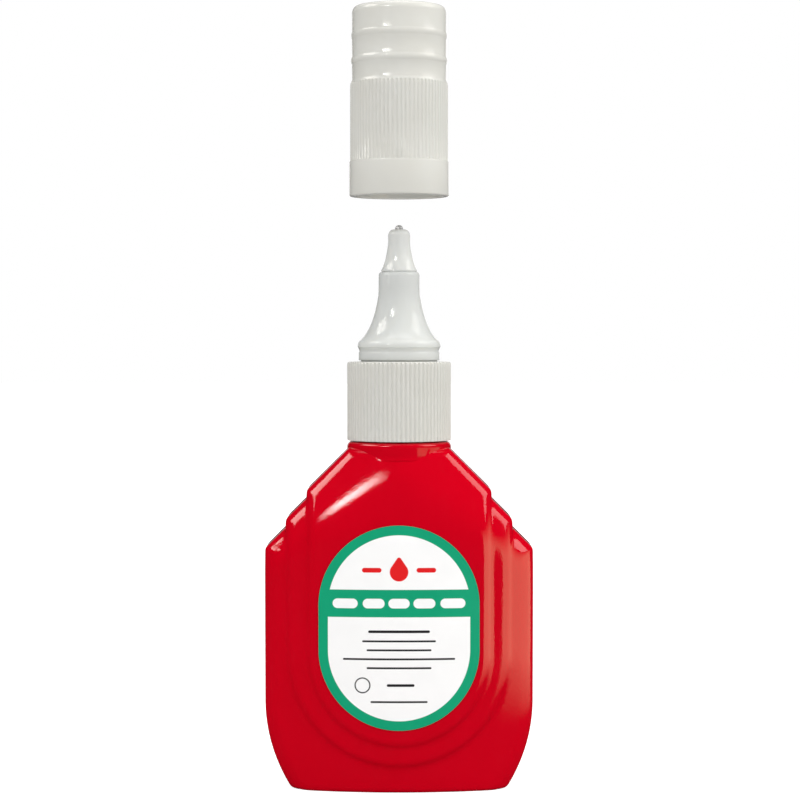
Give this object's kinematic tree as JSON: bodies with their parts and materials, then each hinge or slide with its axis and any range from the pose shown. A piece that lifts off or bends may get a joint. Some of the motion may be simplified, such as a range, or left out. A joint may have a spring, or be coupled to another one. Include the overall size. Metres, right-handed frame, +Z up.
{
  "type": "correction fluid bottle",
  "caption": "Flat squeeze bottle for correction fluid with stepped shield-shaped sides, a ribbed screw collar, a nozzle with a sprung pin tip, and a push-on cap lifted off",
  "frame": {"origin": "middle of the flat base, on the surface that the bottle stands on", "axes": "+Z up along the neck and nozzle, +X to the viewer's right along the wide side, -Y towards the viewer of the front label"},
  "size_m": [0.0426, 0.0212, 0.1242],
  "materials": {
    "red_shell": "glossy red blow-moulded plastic",
    "white_plastic": "satin off-white moulded plastic",
    "translucent_plastic": "slightly translucent white moulded plastic",
    "soft_seal": "soft natural polyethylene",
    "steel": "bright drawn stainless steel",
    "printed_label": "printed film in green and white"
  },
  "bodies": {
    "bottle_body": {"bottle": "red_shell", "neck_gasket": "soft_seal", "front_label": "printed_label", "rear_label": "printed_label"},
    "nozzle_body": {"nozzle": "translucent_plastic", "nozzle_tip": "translucent_plastic", "spring_retainer": "soft_seal", "valve_spring": "steel"},
    "collar_body": {"collar": "white_plastic"},
    "pin_body": {"valve_pin": "steel"},
    "cap_body": {"cap": "white_plastic", "cap_seal": "soft_seal"},
    "ball_body": {"mixing_ball": "steel"}
  },
  "joints": [
    {"name": "nozzle_lift", "type": "slide", "parent": "bottle_body", "child": "nozzle_body", "axis": [0, 0, 1], "range_m": [0, 0.00375]},
    {"name": "collar_turn", "type": "hinge", "parent": "nozzle_body", "child": "collar_body", "pos_m": [0, 0, 0.061], "axis": [0, 0, 1], "range_deg": [0, 540]},
    {"name": "pin_press", "type": "slide", "parent": "nozzle_body", "child": "pin_body", "axis": [0, 0, 1], "range_m": [-0.0007, 0], "stiffness_N_per_m": 300, "springref_m": 0.001, "deforming": ["valve_spring"]},
    {"name": "cap_lift", "type": "slide", "parent": "nozzle_body", "child": "cap_body", "axis": [0, 0, 1], "range_m": [-0.026, 0]},
    {"name": "ball_rattle", "type": "slide", "parent": "bottle_body", "child": "ball_body", "axis": [0, 0, 1], "range_m": [0, 0.045]}
  ],
  "couplings": [
    {"joint": "collar_turn", "follows": "nozzle_lift", "rad_per_m": 2513.3}
  ]
}
